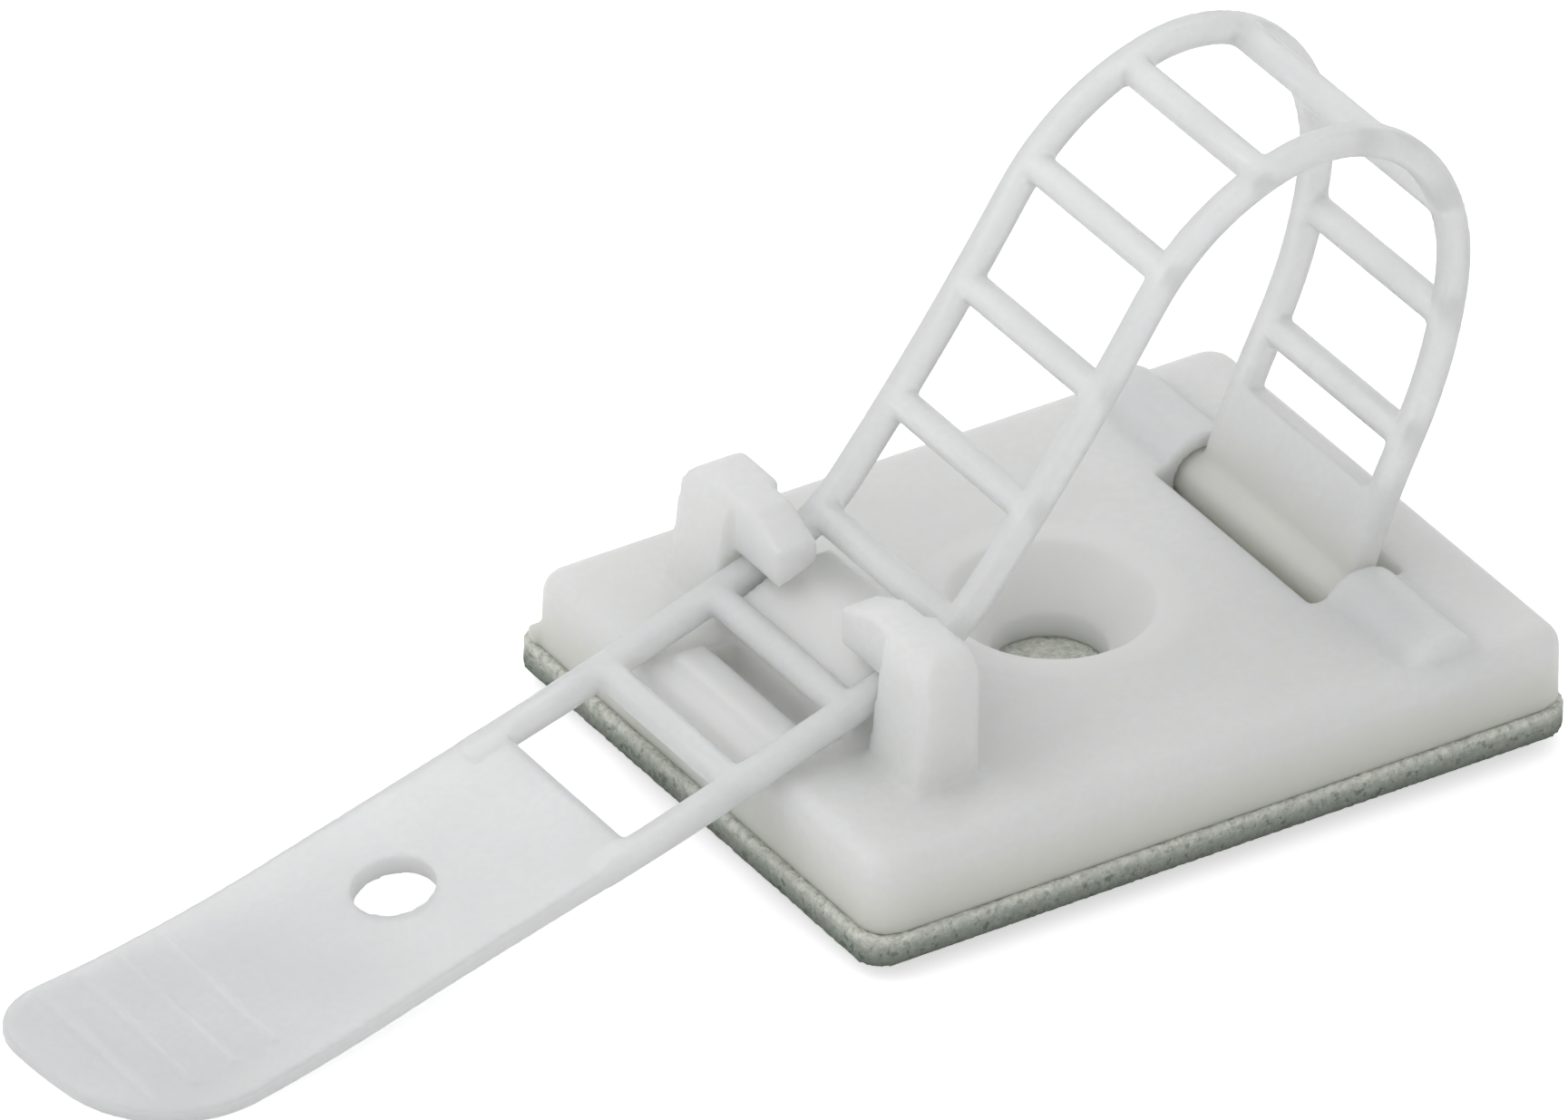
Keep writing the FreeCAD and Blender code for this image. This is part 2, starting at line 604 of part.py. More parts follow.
rib_parts = []
for number in range(4):
    distance = size("rib_first") + number * size("rib_pitch")
    sink = size("rib_radius") - size("rib_height")
    share = (distance - tab_start) / (midline.length - tab_start)
    taper = size("tip_thickness") - size("tab_thickness")
    point = midline.at(distance, (size("tab_thickness") + share * taper) / 2 - sink)[0]
    reach = tab_x0 - size("tab_bend") - point.x
    start = on_tab(reach, size("rib_shift")).y - size("rib_half")
    rib = doc.addObject("Part::Cylinder", "Rib%d" % number)
    rib.Placement = FreeCAD.Placement(
        FreeCAD.Vector(point.x, start, point.z),
        FreeCAD.Rotation(FreeCAD.Vector(0, 0, 1), FreeCAD.Vector(0, 1, 0)))
    bind(rib, Radius="Sizes.rib_radius", Height="2 * Sizes.rib_half")
    rib_parts.append(rib)

strap = fuse("Strap", [front_rail, back_rail, web, barrel, pins, tab_drilled]
             + rung_parts + rib_parts)
strap.Refine = True
strap.Label = "strap"

doc.recompute()
for obj in doc.Objects:
    if "Invalid" in obj.State or "Error" in obj.State:
        raise RuntimeError("%s did not recompute" % obj.Label)
    shape = getattr(obj, "Shape", None)
    if shape is not None and (shape.isNull() or not shape.isValid()):
        raise RuntimeError("%s has no valid shape" % obj.Label)

os.makedirs("parts", exist_ok=True)
for node in (adhesive_pad, mount_base, strap):
    if len(node.Shape.Solids) != 1:
        raise RuntimeError("%s is not one solid" % node.Label)
    node.Shape.exportStep("parts/%s.step" % node.Label)
    bounds = node.Shape.BoundBox
    print("%s volume %.2f X %.2f..%.2f Y %.2f..%.2f Z %.2f..%.2f" % (
        node.Label, node.Shape.Volume, bounds.XMin, bounds.XMax, bounds.YMin, bounds.YMax,
        bounds.ZMin, bounds.ZMax))
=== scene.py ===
import math

import bmesh
import bpy
from bpy.props import FloatProperty, FloatVectorProperty, IntProperty, PointerProperty
from mathutils import Matrix, Vector, noise


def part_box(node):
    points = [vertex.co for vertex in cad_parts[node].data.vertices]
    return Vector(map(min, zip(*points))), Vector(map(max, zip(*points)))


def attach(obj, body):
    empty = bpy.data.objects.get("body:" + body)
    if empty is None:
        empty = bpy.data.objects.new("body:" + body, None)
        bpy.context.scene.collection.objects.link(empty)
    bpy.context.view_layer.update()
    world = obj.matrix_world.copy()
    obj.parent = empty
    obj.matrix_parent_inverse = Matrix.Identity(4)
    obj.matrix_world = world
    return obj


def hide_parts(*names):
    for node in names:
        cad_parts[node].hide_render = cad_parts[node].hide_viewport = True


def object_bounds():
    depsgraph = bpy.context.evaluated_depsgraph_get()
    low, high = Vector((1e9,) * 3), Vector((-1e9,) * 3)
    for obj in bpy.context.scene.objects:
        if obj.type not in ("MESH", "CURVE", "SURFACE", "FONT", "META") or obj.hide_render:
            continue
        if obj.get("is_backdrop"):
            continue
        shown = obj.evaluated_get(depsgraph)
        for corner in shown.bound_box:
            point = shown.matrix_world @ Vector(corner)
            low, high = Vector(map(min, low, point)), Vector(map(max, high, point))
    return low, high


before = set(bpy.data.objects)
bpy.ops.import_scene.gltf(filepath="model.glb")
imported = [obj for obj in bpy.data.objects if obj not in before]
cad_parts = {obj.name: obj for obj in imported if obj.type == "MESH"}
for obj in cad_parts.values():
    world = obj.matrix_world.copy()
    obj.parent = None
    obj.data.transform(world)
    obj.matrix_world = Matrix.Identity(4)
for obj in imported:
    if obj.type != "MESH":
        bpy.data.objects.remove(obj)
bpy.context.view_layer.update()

bl_info = {
    "name": "Cable Tie Mount",
    "version": (1, 0, 0),
    "blender": (4, 5, 0),
    "location": "3D View > Sidebar > Tie Mount",
    "description": "Foam tape, nylon base and ladder strap of an adhesive-backed cable tie mount",
    "category": "Add Mesh",
}

MM = 0.001

FOAM_SKIN_STEP = 0.11 * MM
FOAM_RAGGED_BAND = 0.4 * MM
CORNER_STEPS = 8
# Painted light in the base's hollows, the screw hole and the latch: a point and the distance round
# it within which the nylon is painted paler, in place of the shade that falls there
HOLE_PAINTED_GLOW = ((0.0, 0.0, 2.5 * MM), 3.4 * MM)
LATCH_PAINTED_GLOW = ((-9.8 * MM, 0.0, 3.6 * MM), 3.0 * MM)
PAINTED_GLOW_COLOUR = (0.99, 0.99, 0.96)
# Where the warmer tone starts and where it is full: above the base's foot, along Z at the
# strap's knuckle, and along X there, from the strap's right-hand end. Low on the base it is the
# tape's tint seen through the nylon; on the knuckle it is that tint with painted warm light
# bounced round its slot
BASE_WARMTH = (2.0 * MM, -0.4 * MM)
KNUCKLE_TINT_AND_BOUNCE_Z = (5.2 * MM, 3.6 * MM)
KNUCKLE_TINT_AND_BOUNCE_X = (-6.8 * MM, -5.8 * MM)
# Along X, where the tab's upright cut edges begin to be painted paler and where they are palest: a
# painted glow of light through the thin nylon
TAB_EDGE_GLOW_SPAN = (-17.0 * MM, -20.0 * MM)
WHITE = (1.0, 1.0, 1.0)
# Shift sideways, lift, length and width of each block of the torn stub, in stub sizes
STUB_BLOCKS = (
    (-0.3, -0.05, 1.5, 0.5),
    (0.15, 0.12, 1.75, 0.45),
    (0.35, -0.3, 1.3, 0.4),
    (-0.05, -0.32, 1.6, 0.4),
)
STUB_BLOCK_HEIGHT = 0.6
FLOOR_HALF = 1.5
FLOOR_GAP = 0.02 * MM
LAMP_AIM = Vector((-0.008, 0.0, 0.006))
# Name, power, side and place from the aim of each lamp
LAMPS = (
    ("key_lamp", "key_power", 0.16, Vector((-0.11, 0.06, 0.12))),
    ("back_lamp", "back_power", 0.20, Vector((0.09, 0.15, 0.12))),
    ("fill_lamp", "fill_power", 0.30, Vector((-0.10, -0.26, 0.16))),
)


# Sizes and colours that the panel shows


class FoamTapeSizes(bpy.types.PropertyGroup):
    corner: FloatProperty(
        name="Corner", description="Radius of the tape's corners",
        default=1.1 * MM, min=0.1 * MM, unit="LENGTH")
    cell: FloatProperty(
        name="Cell", description="Size of the foam's cells on the cut edge",
        default=0.22 * MM, min=0.05 * MM, unit="LENGTH")
    raggedness: FloatProperty(
        name="Raggedness", description="How far the cut edge wanders",
        default=0.09 * MM, min=0.0, unit="LENGTH")
    top_colour: FloatVectorProperty(
        name="Top", description="Pale upper face and edge, where the tape meets the nylon",
        subtype="COLOR", size=3, default=(0.76, 0.775, 0.71), min=0.0, max=1.0)
    colour: FloatVectorProperty(
        name="Foam", description="Body of the foam", subtype="COLOR", size=3,
        default=(0.42, 0.455, 0.41), min=0.0, max=1.0)
    # Foot colour: the foam darker towards its bottom, and the colour of its dark cells
    low_colour: FloatVectorProperty(
        name="Foot", description="Dirty lower edge and dark cells of the foam", subtype="COLOR",
        size=3, default=(0.11, 0.135, 0.105), min=0.0, max=1.0)


class NylonBaseSizes(bpy.types.PropertyGroup):
    skin_step: FloatProperty(
        name="Skin step", description="Spacing of the points on the moulded skin",
        default=0.135 * MM, min=0.05 * MM, unit="LENGTH")
    softness: IntProperty(
        name="Softness", description="Smoothing passes over the moulded edges",
        default=1, min=0, max=20)
    stub_place: FloatVectorProperty(
        name="Stub place", description="Torn stub of the moulding gate, low at a back corner",
        subtype="XYZ", unit="LENGTH", size=3, default=(-12.1 * MM, 9.22 * MM, 1.3 * MM))
    stub_size: FloatProperty(
        name="Stub size", description="Width and height of the torn stub",
        default=0.6 * MM, min=0.1 * MM, unit="LENGTH")
    colour: FloatVectorProperty(
        name="Nylon", description="Natural nylon", subtype="COLOR", size=3,
        default=(0.92, 0.93, 0.92), min=0.0, max=1.0)
    deep_colour: FloatVectorProperty(
        name="Deep nylon", description="Low on the walls and down in the hole", subtype="COLOR",
        size=3, default=(0.72, 0.72, 0.61), min=0.0, max=1.0)
    clearness: FloatProperty(
        name="Clearness", description="Share of the light that passes straight through",
        subtype="FACTOR", default=0.25, min=0.0, max=1.0)


class LadderStrapSizes(bpy.types.PropertyGroup):
    skin_step: FloatProperty(
        name="Skin step", description="Spacing of the points on the moulded skin",
        default=0.115 * MM, min=0.05 * MM, unit="LENGTH")
    softness: IntProperty(
        name="Softness", description="Smoothing passes over the moulded edges",
        default=1, min=0, max=20)
    hole_place: FloatVectorProperty(
        name="Hole place", description="A point on the axis of the tab's hole",
        subtype="XYZ", unit="LENGTH", size=3, default=(-22.971 * MM, 0.0, -0.453 * MM))
    hole_lean: FloatProperty(
        name="Hole lean", description="Tilt of the hole's axis from upright, as the tab lies",
        subtype="ANGLE", default=math.radians(11.625))
    hole_radius: FloatProperty(
        name="Hole radius", description="Radius to which the wall of the tab's hole is rounded",
        default=1.3 * MM, min=0.5 * MM, unit="LENGTH")
    colour: FloatVectorProperty(
        name="Nylon", description="Natural nylon, thinner and clearer than the base",
        subtype="COLOR", size=3, default=(0.91, 0.92, 0.92), min=0.0, max=1.0)
    # The knuckle's deep colour: the tape's tint seen through the nylon, with painted warm light
    # bounced round the slot
    deep_colour: FloatVectorProperty(
        name="Deep nylon", description="The knuckle down in its slot", subtype="COLOR", size=3,
        default=(0.95, 0.95, 0.87), min=0.0, max=1.0)
    clearness: FloatProperty(
        name="Clearness", description="Share of the light that passes straight through",
        subtype="FACTOR", default=0.38, min=0.0, max=1.0)


class StageSizes(bpy.types.PropertyGroup):
    azimuth: FloatProperty(
        name="Azimuth", description="Camera direction, turned from looking along +Y",
        subtype="ANGLE", default=math.radians(33.644))
    elevation: FloatProperty(
        name="Elevation", description="Camera height as an angle",
        subtype="ANGLE", default=math.radians(33.203))
    roll: FloatProperty(
        name="Roll", description="Camera tilt", subtype="ANGLE", default=math.radians(-1.362))
    distance: FloatProperty(
        name="Distance", description="Camera distance from the origin along its view",
        unit="LENGTH", default=770.03 * MM)
    focal_length: FloatProperty(
        name="Focal length", description="Millimetres on a 36 mm wide sensor", default=586.6)
    centre_right: FloatProperty(
        name="Centre right", description="Middle of the picture, right of the origin",
        unit="LENGTH", default=-7.961 * MM)
    centre_up: FloatProperty(
        name="Centre up", description="Middle of the picture, above the origin",
        unit="LENGTH", default=4.129 * MM)
    key_power: FloatProperty(
        name="Key lamp", description="Large soft lamp above and behind the left side",
        subtype="POWER", default=0.085)
    fill_power: FloatProperty(
        name="Fill lamp", description="Soft lamp on the camera's side",
        subtype="POWER", default=0.10)
    back_power: FloatProperty(
        name="Back lamp", description="Soft lamp behind, so that the nylon glows a little",
        subtype="POWER", default=0.05)
    world_strength: FloatProperty(
        name="Surroundings", description="Light of the pale studio", default=0.66)
    floor_glow: FloatProperty(
        name="Floor glow", description="Light the floor adds where it is seen, so it stays white",
        default=0.55)


# Shared helpers


def own_copy(node, name):
    """A new piece that starts from a CAD node's closed mesh, in millimetres."""
    piece = bpy.data.objects.new(name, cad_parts[node].data.copy())
    bpy.context.scene.collection.objects.link(piece)
    mesh = bmesh.new()
    mesh.from_mesh(piece.data)
    bmesh.ops.remove_doubles(mesh, verts=mesh.verts, dist=1e-7)
    bmesh.ops.scale(mesh, vec=(1 / MM, 1 / MM, 1 / MM), verts=mesh.verts)
    mesh.to_mesh(piece.data)
    mesh.free()
    piece.data.materials.clear()
    return piece


def apply_modifiers(piece):
    """Give a piece the mesh that its modifiers make."""
    graph = bpy.context.evaluated_depsgraph_get()
    final = bpy.data.meshes.new_from_object(piece.evaluated_get(graph))
    piece.modifiers.clear()
    piece.data = final


def moulded_skin(piece, step, passes):
    """Remesh a piece in millimetres as one closed skin with softly rounded edges, in metres."""
    remesh = piece.modifiers.new("Skin", "REMESH")
    remesh.mode = "VOXEL"
    remesh.voxel_size = step / MM
    smooth = piece.modifiers.new("Soft edges", "SMOOTH")
    smooth.factor = 0.5
    smooth.iterations = passes
    apply_modifiers(piece)
    piece.data.transform(Matrix.Scale(MM, 4))
    piece.data.shade_smooth()


def round_hole(piece, place, lean, radius):
    """Push the wall of a hole out to one radius, so that the flats of the CAD mesh don't show."""
    axis = Vector((math.sin(lean), 0.0, -math.cos(lean)))
    for vertex in piece.data.vertices:
        arm = vertex.co - place
        arm -= axis * arm.dot(axis)
        if arm.length < radius:
            vertex.co += arm.normalized() * (radius - arm.length)
    piece.data.update()


def rides_for(piece, node, material):
    """Dress a piece, fix it to the root body and let it stand in for its CAD node."""
    piece.data.materials.append(material)
    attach(piece, "root")
    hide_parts(node)


class Nodes:
    """Short way to add and join nodes of one material."""

    def __init__(self, name):
        self.material = bpy.data.materials.new(name)
        self.material.use_nodes = True
        self.tree = self.material.node_tree
        self.shader = self.tree.nodes["Principled BSDF"]
        self.place = self.add("ShaderNodeTexCoord").outputs["Object"]

    def add(self, kind, **values):
        node = self.tree.nodes.new(kind)
        for key, value in values.items():
            socket = node.inputs.get(key.replace("_", " "))
            if socket is not None:
                socket.default_value = value
            else:
                setattr(node, key, value)
        return node

    def join(self, output, target):
        self.tree.links.new(output, target)

    def grain(self, scale, detail=2.0, roughness=0.5):
        node = self.add("ShaderNodeTexNoise", Scale=scale, Detail=detail, Roughness=roughness)
        self.join(self.place, node.inputs["Vector"])
        return node.outputs["Fac"]

    def span(self, value, low, high, to_low=0.0, to_high=1.0):
        node = self.add("ShaderNodeMapRange")
        for name, number in (("From Min", low), ("From Max", high),
                             ("To Min", to_low), ("To Max", to_high)):
            node.inputs[name].default_value = number
        self.join(value, node.inputs["Value"])
        return node.outputs["Result"]

    def blend(self, factor, first, second):
        """Mix of two colours, each a linear triple or another colour output."""
        node = self.add("ShaderNodeMix")
        node.data_type = "RGBA"
        self.join(factor, node.inputs[0])
        for socket, colour in ((node.inputs[6], first), (node.inputs[7], second)):
            if isinstance(colour, bpy.types.NodeSocket):
                self.join(colour, socket)
            else:
                socket.default_value = (*colour, 1.0)
        return node.outputs[2]

    def along(self, axis):
        node = self.add("ShaderNodeSeparateXYZ")
        self.join(self.place, node.inputs[0])
        return node.outputs[axis]

    def times(self, first, second):
        node = self.add("ShaderNodeMath")
        node.operation = "MULTIPLY"
        self.join(first, node.inputs[0])
        self.join(second, node.inputs[1])
        return node.outputs[0]

    def near(self, point, reach):
        """Full within a distance of a point, and gone a third further out."""
        node = self.add("ShaderNodeVectorMath")
        node.operation = "DISTANCE"
        node.inputs[1].default_value = point
        self.join(self.place, node.inputs[0])
        return self.span(node.outputs["Value"], 1.33 * reach, reach)

    def upright(self):
        """Full on faces that stand upright, and gone on faces that lie flat."""
        split = self.add("ShaderNodeSeparateXYZ")
        self.join(self.add("ShaderNodeNewGeometry").outputs["Normal"], split.inputs[0])
        return self.span(self.times(split.outputs["Z"], split.outputs["Z"]), 0.4, 0.1)

    def bump(self, *layers):
        """Bump layers, each a height output and a distance in metres, one over the other."""
        below = None
        for output, distance in layers:
            node = self.add("ShaderNodeBump", Distance=distance)
            self.join(output, node.inputs["Height"])
            if below is not None:
                self.join(below, node.inputs["Normal"])
            below = node.outputs["Normal"]
        self.join(below, self.shader.inputs["Normal"])


def shade(colour, factor):
    """A colour made lighter or darker by a factor."""
    return tuple(min(1.0, c * factor) for c in colour)


# Foam tape


def foam_material(sizes):
    """Grey-green foam with dark cells, pale at its upper edge and dark at its foot."""
    nodes = Nodes("foam")
    cells = nodes.add("ShaderNodeTexVoronoi", Scale=1.0 / sizes.cell)
    nodes.join(nodes.place, cells.inputs["Vector"])
    height = nodes.along("Z")
    mottle = nodes.span(nodes.grain(0.9 / sizes.cell, 3.0, 0.7), 0.35, 0.65)
    specks = nodes.span(nodes.grain(0.7 / sizes.cell, 2.0, 0.6), 0.56, 0.66)
    edge = nodes.blend(nodes.span(height, 0.55 * MM, 0.9 * MM), tuple(sizes.colour),
                       tuple(sizes.top_colour))
    body = nodes.blend(nodes.span(height, 0.6 * MM, -0.05 * MM), edge, tuple(sizes.low_colour))
    mottled = nodes.blend(nodes.span(mottle, 0.0, 1.0, 0.0, 0.3), body,
                          tuple(sizes.low_colour))
    dark = nodes.times(specks, nodes.span(height, 0.1 * MM, 0.95 * MM, 0.9, 0.25))
    nodes.join(nodes.blend(dark, mottled, tuple(sizes.low_colour)),
               nodes.shader.inputs["Base Color"])
    nodes.join(nodes.span(mottle, 0.0, 1.0, 0.85, 0.97), nodes.shader.inputs["Roughness"])
    nodes.shader.inputs["Specular IOR Level"].default_value = 0.2
    nodes.bump((cells.outputs["Distance"], 0.06 * MM), (mottle, 0.05 * MM))
    return nodes.material


class TIEMOUNT_OT_foam_tape(bpy.types.Operator):
    """Foam tape with ragged cut edges under the base"""
    bl_idname = "tie_mount.foam_tape"
    bl_label = "Foam Tape"

    def execute(self, context):
        sizes = context.scene.foam_tape_sizes
        low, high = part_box("adhesive_pad")
        middle = (low + high) / 2
        radius = sizes.corner
        reach_x, reach_y = (high.x - low.x) / 2 - radius, (high.y - low.y) / 2 - radius
        outline = []
        for quarter, (sx, sy) in enumerate(((1, 1), (-1, 1), (-1, -1), (1, -1))):
            for step in range(CORNER_STEPS + 1):
                angle = (quarter + step / CORNER_STEPS) * math.pi / 2
                outline.append((middle.x + sx * reach_x + radius * math.cos(angle),
                                middle.y + sy * reach_y + radius * math.sin(angle)))
        mesh = bmesh.new()
        floor = [mesh.verts.new((x / MM, y / MM, low.z / MM)) for x, y in outline]
        roof = [mesh.verts.new((x / MM, y / MM, high.z / MM)) for x, y in outline]
        mesh.faces.new(list(reversed(floor)))
        mesh.faces.new(roof)
        for number in range(len(outline)):
            ahead = (number + 1) % len(outline)
            mesh.faces.new((floor[number], floor[ahead], roof[ahead], roof[number]))
        data = bpy.data.meshes.new("foam_tape")
        mesh.to_mesh(data)
        mesh.free()
        tape = bpy.data.objects.new("foam_tape", data)
        context.scene.collection.objects.link(tape)
        moulded_skin(tape, FOAM_SKIN_STEP, 0)
        for vertex in tape.data.vertices:
            outwards = Vector((vertex.co.x - middle.x, vertex.co.y - middle.y, 0.0))
            inside_x = reach_x + radius - abs(outwards.x)
            inside_y = reach_y + radius - abs(outwards.y)
            near_edge = max(0.0, 1.0 - min(inside_x, inside_y) / FOAM_RAGGED_BAND)
            if near_edge > 0.0:
                wander = noise.fractal(vertex.co / sizes.cell, 0.6, 2.0, 3) * 0.5 + 0.5
                outwards.normalize()
                vertex.co -= outwards * sizes.raggedness * wander * near_edge
        tape.data.update()
        rides_for(tape, "adhesive_pad", foam_material(sizes))
        return {"FINISHED"}


# Nylon base and ladder strap


def nylon_material(name, colour, deep_colour, clearness, deep, painted_glow_spots=(), edge_glow_span=None):
    """Natural nylon: milky and a little clear, warmer low down, with fine flow marks.

    Deep holds, for one axis or more, where the warmer tone starts and where it is full.
    painted_glow_spots are points and distances within which the nylon is painted paler,
    painted light in place of the shade in its hollows. edge_glow_span is where, along X,
    its upright cut edges are painted paler, a painted glow of light through the thin nylon.
    """
    nodes = Nodes(name)
    clouds = nodes.span(nodes.grain(260.0, 3.0), 0.3, 0.7)
    fine = nodes.grain(3800.0, 2.0, 0.6)
    cloudy = nodes.blend(clouds, colour, shade(colour, 0.955))
    grainy = nodes.blend(nodes.span(fine, 0.35, 0.65, 0.0, 0.5), cloudy, shade(colour, 0.93))
    warm_tint_and_bounce = None
    for axis, (start, full) in deep.items():
        share = nodes.span(nodes.along(axis), start, full)
        warm_tint_and_bounce = share if warm_tint_and_bounce is None else nodes.times(warm_tint_and_bounce, share)
    # Warmer tone: the tape's tint through the nylon, and on the strap's knuckle also painted warm
    # light bounced round its slot
    tone = nodes.blend(warm_tint_and_bounce, grainy, deep_colour)
    # Painted light: paler colour round each point stands in for light carried through the nylon
    # into the hollows
    for point, reach in painted_glow_spots:
        tone = nodes.blend(nodes.near(point, reach), tone, PAINTED_GLOW_COLOUR)
    if edge_glow_span:
        # Painted light: the tab's upright cut edges are painted towards white, a glow of light
        # through the thin nylon
        edges = nodes.times(nodes.upright(), nodes.span(nodes.along("X"), *edge_glow_span))
        tone = nodes.blend(edges, tone, WHITE)
    nodes.join(tone, nodes.shader.inputs["Base Color"])
    nodes.join(nodes.span(clouds, 0.0, 1.0, 0.36, 0.5), nodes.shader.inputs["Roughness"])
    flow = nodes.grain(900.0, 2.0)
    nodes.bump((flow, 0.012 * MM), (fine, 0.004 * MM))
    shader = nodes.shader.inputs
    shader["IOR"].default_value = 1.53
    shader["Specular IOR Level"].default_value = 0.35
    shader["Subsurface Weight"].default_value = 0.85
    shader["Subsurface Radius"].default_value = (1.0, 0.95, 0.85)
    shader["Subsurface Scale"].default_value = 1.6 * MM
    shader["Transmission Weight"].default_value = clearness
    return nodes.material


def add_gate_stub(piece, place, size):
    """Join overlapping blocks, torn short at different lengths, to a piece in millimetres."""
    outwards = Vector((place[0], place[1], 0.0)).normalized()
    turned = outwards.to_track_quat("X", "Z").to_matrix().to_4x4()
    mesh = bmesh.new()
    mesh.from_mesh(piece.data)
    for side, lift, length, width in STUB_BLOCKS:
        centre = Vector(place) + turned.to_3x3() @ Vector((0.0, side * size, lift * size))
        block = Matrix.Translation(centre / MM) @ turned @ Matrix.Diagonal(
            (length * size / MM, width * size / MM, STUB_BLOCK_HEIGHT * size / MM, 1.0))
        bmesh.ops.create_cube(mesh, size=1.0, matrix=block)
    mesh.to_mesh(piece.data)
    mesh.free()


class TIEMOUNT_OT_nylon_base(bpy.types.Operator):
    """Moulded base with its screw hole, lugs, guide posts and latch tooth"""
    bl_idname = "tie_mount.nylon_base"
    bl_label = "Nylon Base"

    def execute(self, context):
        sizes = context.scene.nylon_base_sizes
        base = own_copy("mount_base", "nylon_base")
        add_gate_stub(base, sizes.stub_place, sizes.stub_size)
        moulded_skin(base, sizes.skin_step, sizes.softness)
        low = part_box("mount_base")[0]
        material = nylon_material(
            "base_nylon", tuple(sizes.colour), tuple(sizes.deep_colour), sizes.clearness,
            {"Z": [low.z + rise for rise in BASE_WARMTH]},
            painted_glow_spots=(HOLE_PAINTED_GLOW, LATCH_PAINTED_GLOW))
        rides_for(base, "mount_base", material)
        return {"FINISHED"}


class TIEMOUNT_OT_ladder_strap(bpy.types.Operator):
    """Ladder strap with its knuckle, rungs and pull tab"""
    bl_idname = "tie_mount.ladder_strap"
    bl_label = "Ladder Strap"

    def execute(self, context):
        sizes = context.scene.ladder_strap_sizes
        strap = own_copy("strap", "ladder_strap")
        moulded_skin(strap, sizes.skin_step, sizes.softness)
        round_hole(strap, Vector(sizes.hole_place), sizes.hole_lean, sizes.hole_radius)
        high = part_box("strap")[1]
        # The knuckle's warmer tone is partly painted warm light bounced round its slot
        material = nylon_material(
            "strap_nylon", tuple(sizes.colour), tuple(sizes.deep_colour), sizes.clearness,
            {"Z": KNUCKLE_TINT_AND_BOUNCE_Z, "X": [high.x + shift for shift in KNUCKLE_TINT_AND_BOUNCE_X]},
            # Painted glow on the tab's upright cut edges
            edge_glow_span=TAB_EDGE_GLOW_SPAN)
        rides_for(strap, "strap", material)
        return {"FINISHED"}


# Stage


def area_lamp(name, power, side, place, aim):
    """Square lamp that shines from a place towards its aim."""
    data = bpy.data.lights.new(name, "AREA")
    data.shape = "SQUARE"
    data.size = side
    data.energy = power
    lamp = bpy.data.objects.new(name, data)
    lamp.location = place
    lamp.rotation_euler = (aim - place).to_track_quat("-Z", "Y").to_euler()
    bpy.context.scene.collection.objects.link(lamp)


def seen_white(tree, light, strength, white=1.0):
    """White where the camera, a reflection or clear nylon sees it, and a plain level elsewhere."""
    path = tree.nodes.new("ShaderNodeLightPath")
    seen = path.outputs["Is Camera Ray"]
    for name in ("Is Glossy Ray", "Is Transmission Ray"):
        either = tree.nodes.new("ShaderNodeMath")
        either.operation = "MAXIMUM"
        tree.links.new(seen, either.inputs[0])
        tree.links.new(path.outputs[name], either.inputs[1])
        seen = either.outputs[0]
    level = tree.nodes.new("ShaderNodeMapRange")
    level.inputs["To Min"].default_value = strength
    level.inputs["To Max"].default_value = white
    tree.links.new(seen, level.inputs["Value"])
    tree.links.new(level.outputs["Result"], light)


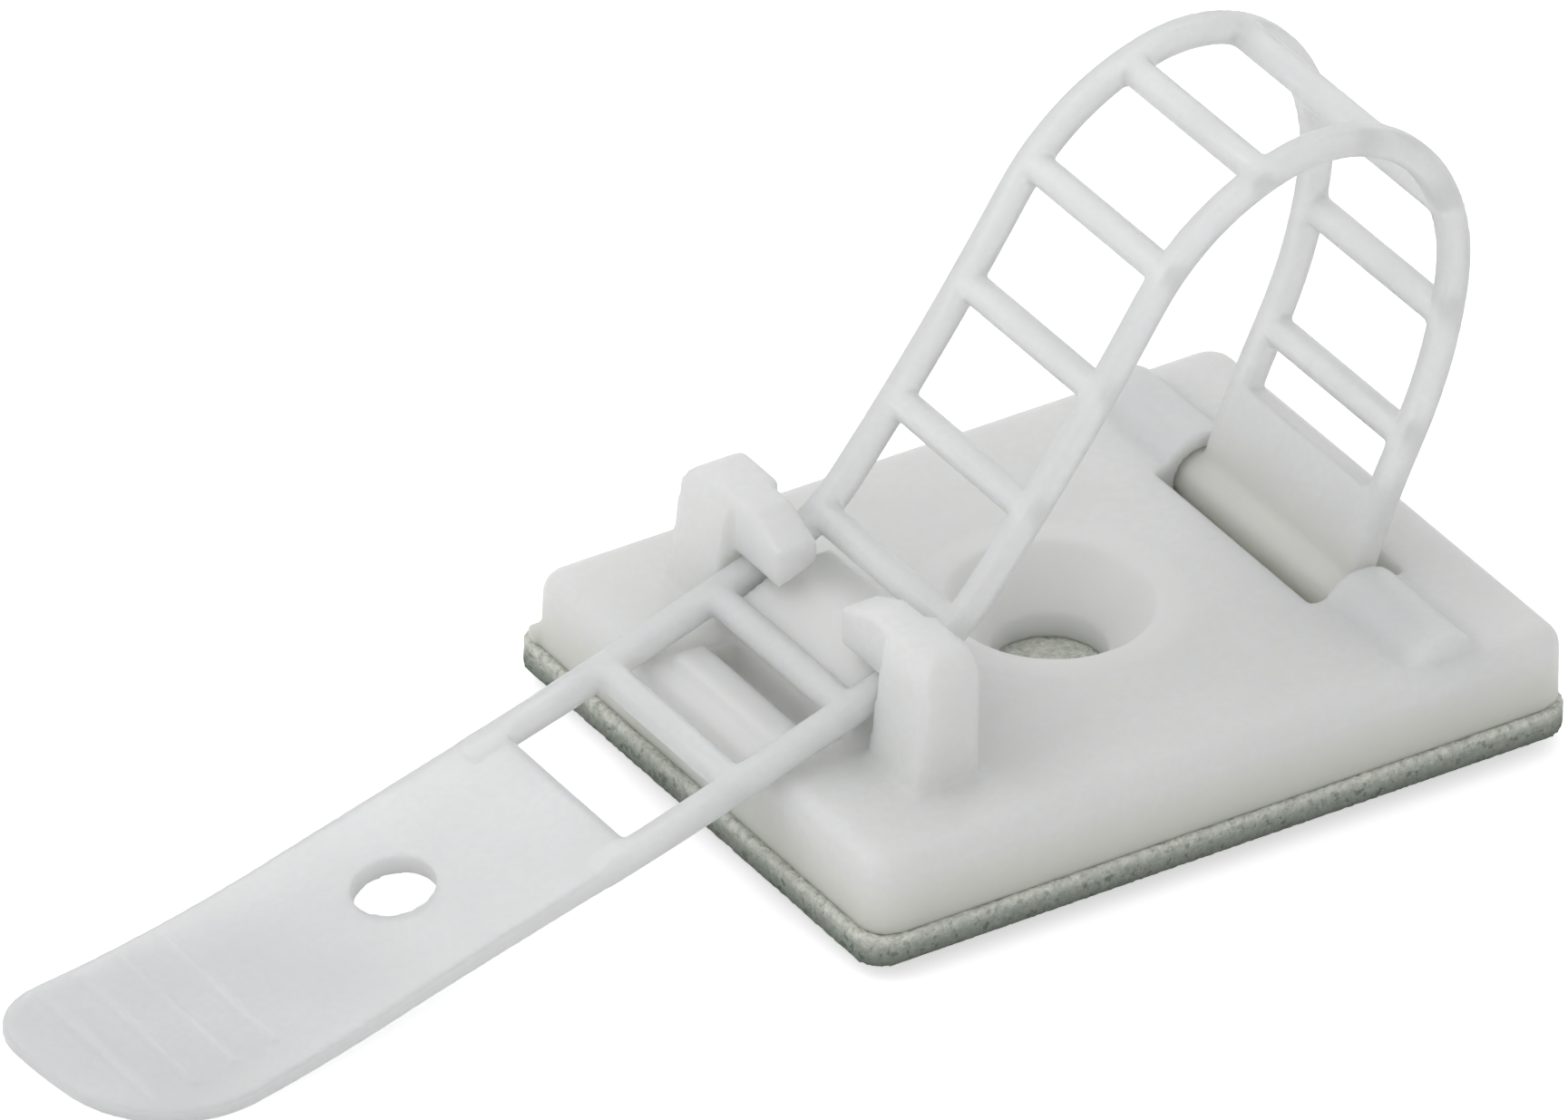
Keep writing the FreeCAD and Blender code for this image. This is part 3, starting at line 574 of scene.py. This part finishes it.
class TIEMOUNT_OT_stage(bpy.types.Operator):
    """Pale floor, soft lamps and the camera"""
    bl_idname = "tie_mount.stage"
    bl_label = "Stage"

    def execute(self, context):
        sizes = context.scene.stage_sizes
        scene = context.scene
        scene.view_settings.view_transform = "Standard"

        world = bpy.data.worlds.new("studio")
        world.use_nodes = True
        background = world.node_tree.nodes["Background"]
        background.inputs["Color"].default_value = (*WHITE, 1.0)
        seen_white(world.node_tree, background.inputs["Strength"], sizes.world_strength)
        scene.world = world

        mesh = bmesh.new()
        bmesh.ops.create_grid(mesh, x_segments=1, y_segments=1, size=FLOOR_HALF)
        data = bpy.data.meshes.new("floor")
        mesh.to_mesh(data)
        mesh.free()
        floor = bpy.data.objects.new("floor", data)
        floor.location = (0.0, 0.0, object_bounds()[0][2] - FLOOR_GAP)
        scene.collection.objects.link(floor)
        paint = bpy.data.materials.new("floor_paint")
        paint.use_nodes = True
        shader = paint.node_tree.nodes["Principled BSDF"].inputs
        shader["Base Color"].default_value = (0.9, 0.9, 0.9, 1.0)
        shader["Roughness"].default_value = 0.9
        shader["Specular IOR Level"].default_value = 0.1
        shader["Emission Color"].default_value = (*WHITE, 1.0)
        seen_white(paint.node_tree, shader["Emission Strength"], 0.0, sizes.floor_glow)
        floor.data.materials.append(paint)
        floor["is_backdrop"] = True

        for name, power, side, offset in LAMPS:
            area_lamp(name, getattr(sizes, power), side, LAMP_AIM + offset, LAMP_AIM)

        azimuth, elevation, roll = sizes.azimuth, sizes.elevation, sizes.roll
        right = Vector((math.cos(azimuth), -math.sin(azimuth), 0.0))
        ahead = Vector((math.sin(azimuth) * math.cos(elevation),
                        math.cos(azimuth) * math.cos(elevation), -math.sin(elevation)))
        up = right.cross(ahead)
        right, up = (right * math.cos(roll) - up * math.sin(roll),
                     right * math.sin(roll) + up * math.cos(roll))
        data = bpy.data.cameras.new("camera")
        data.sensor_width = 36.0
        data.lens = sizes.focal_length
        data.clip_start = 0.01
        data.clip_end = 10.0
        camera = bpy.data.objects.new("camera", data)
        place = right * sizes.centre_right + up * sizes.centre_up - ahead * sizes.distance
        camera.matrix_world = Matrix.Translation(place) @ Matrix(
            (right, up, -ahead)).transposed().to_4x4()
        scene.collection.objects.link(camera)
        scene.camera = camera
        return {"FINISHED"}


class TIEMOUNT_PT_panel(bpy.types.Panel):
    """Pieces of the cable tie mount"""
    bl_label = "Cable Tie Mount"
    bl_idname = "TIEMOUNT_PT_panel"
    bl_space_type = "VIEW_3D"
    bl_region_type = "UI"
    bl_category = "Tie Mount"

    def draw(self, context):
        column = self.layout.column(align=True)
        for operator in OPERATORS:
            column.operator(operator.bl_idname)


SIZE_GROUPS = {
    "foam_tape_sizes": FoamTapeSizes,
    "nylon_base_sizes": NylonBaseSizes,
    "ladder_strap_sizes": LadderStrapSizes,
    "stage_sizes": StageSizes,
}
OPERATORS = (
    TIEMOUNT_OT_foam_tape,
    TIEMOUNT_OT_nylon_base,
    TIEMOUNT_OT_ladder_strap,
    TIEMOUNT_OT_stage,
)
CLASSES = (*SIZE_GROUPS.values(), *OPERATORS, TIEMOUNT_PT_panel)


def register():
    for cls in CLASSES:
        bpy.utils.register_class(cls)
    for name, group in SIZE_GROUPS.items():
        setattr(bpy.types.Scene, name, PointerProperty(type=group))


def unregister():
    for name in SIZE_GROUPS:
        delattr(bpy.types.Scene, name)
    for cls in reversed(CLASSES):
        bpy.utils.unregister_class(cls)


def main():
    register()
    bpy.ops.tie_mount.foam_tape()
    bpy.ops.tie_mount.nylon_base()
    bpy.ops.tie_mount.ladder_strap()
    bpy.ops.tie_mount.stage()


if __name__ == "__main__":
    main()
